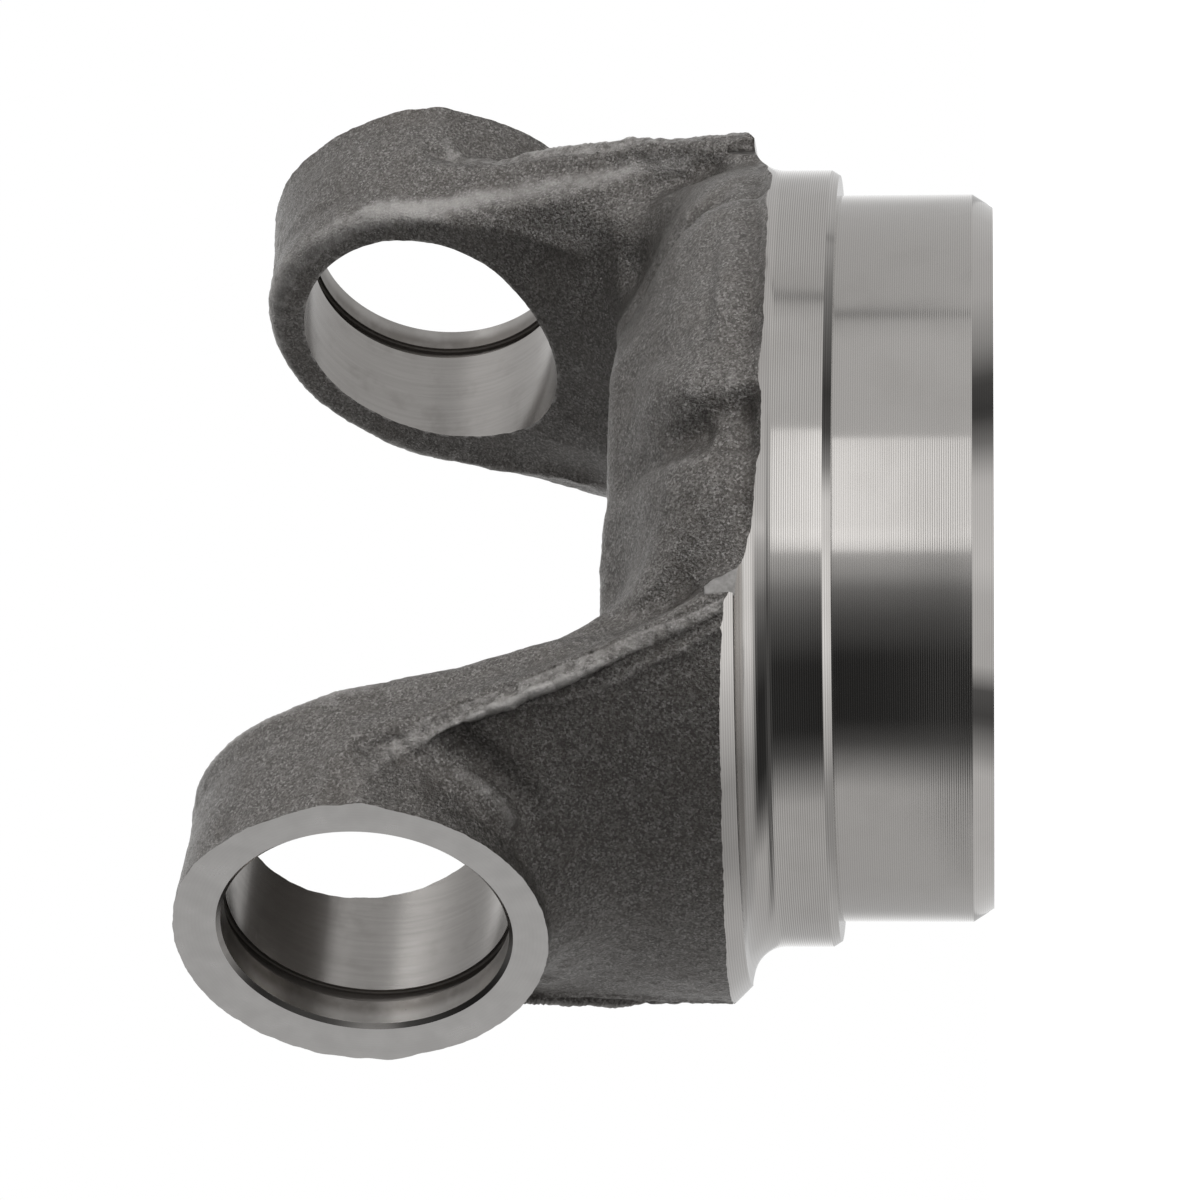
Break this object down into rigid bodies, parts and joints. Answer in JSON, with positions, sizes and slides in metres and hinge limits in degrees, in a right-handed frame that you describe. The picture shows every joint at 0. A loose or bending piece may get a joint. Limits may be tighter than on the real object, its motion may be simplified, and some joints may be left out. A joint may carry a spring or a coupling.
{
  "type": "forged yoke",
  "caption": "One-piece forged steel yoke for a drive shaft, with two bored ears, a turned pilot and shoulder for welding to a tube, and snap ring grooves.",
  "frame": {"origin": "centre of the flat end face of the pilot, on the shaft axis", "axes": "+Z along the shaft axis from the tube end towards the ears; X along the cross bore, with +X towards the ear that is nearer in the picture; +Y completes the right-handed frame"},
  "size_m": [0.0992, 0.0776, 0.0766],
  "materials": {
    "yoke": "dark forging scale on the ears, arms and saddle; bright turned pilot, shoulder and hollow; bored ears and milled ear faces"
  },
  "bodies": {
    "root": {"yoke": "yoke"}
  },
  "joints": []
}
